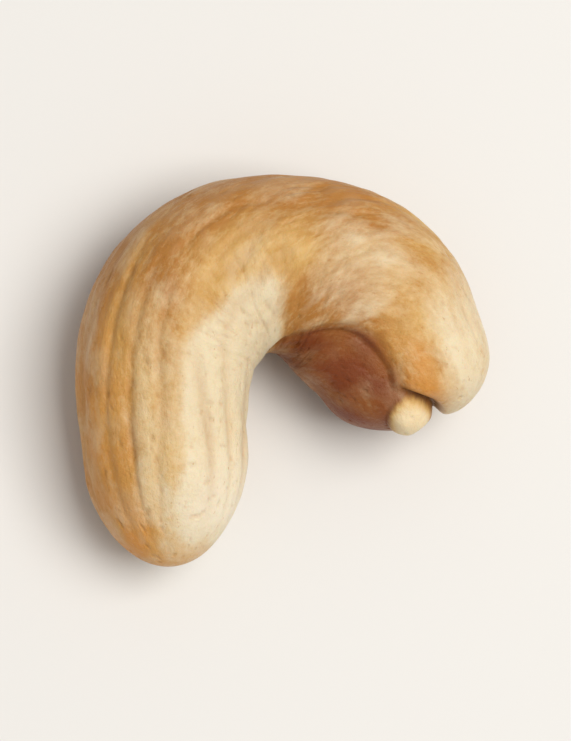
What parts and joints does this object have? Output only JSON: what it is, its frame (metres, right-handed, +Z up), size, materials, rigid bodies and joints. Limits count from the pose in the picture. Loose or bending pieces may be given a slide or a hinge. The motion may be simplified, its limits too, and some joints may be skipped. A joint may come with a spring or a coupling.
{
  "type": "cashew nut",
  "caption": "Whole roasted cashew kernel, a thick furrowed C lying on its side, with a seam, a cleft at the blunt end and the pale tip of the seedling.",
  "frame": {"origin": "middle of the box round the kernel in plan, on the surface that the kernel lies on", "axes": "+X from the slender, straight arm to the blunt end, +Y from the open mouth of the C to its arch, +Z up, through the kernel's thickness"},
  "size_m": [0.0252, 0.0236, 0.0101],
  "materials": {
    "kernel": "satin"
  },
  "bodies": {
    "root": {"kernel": "kernel"}
  },
  "joints": []
}
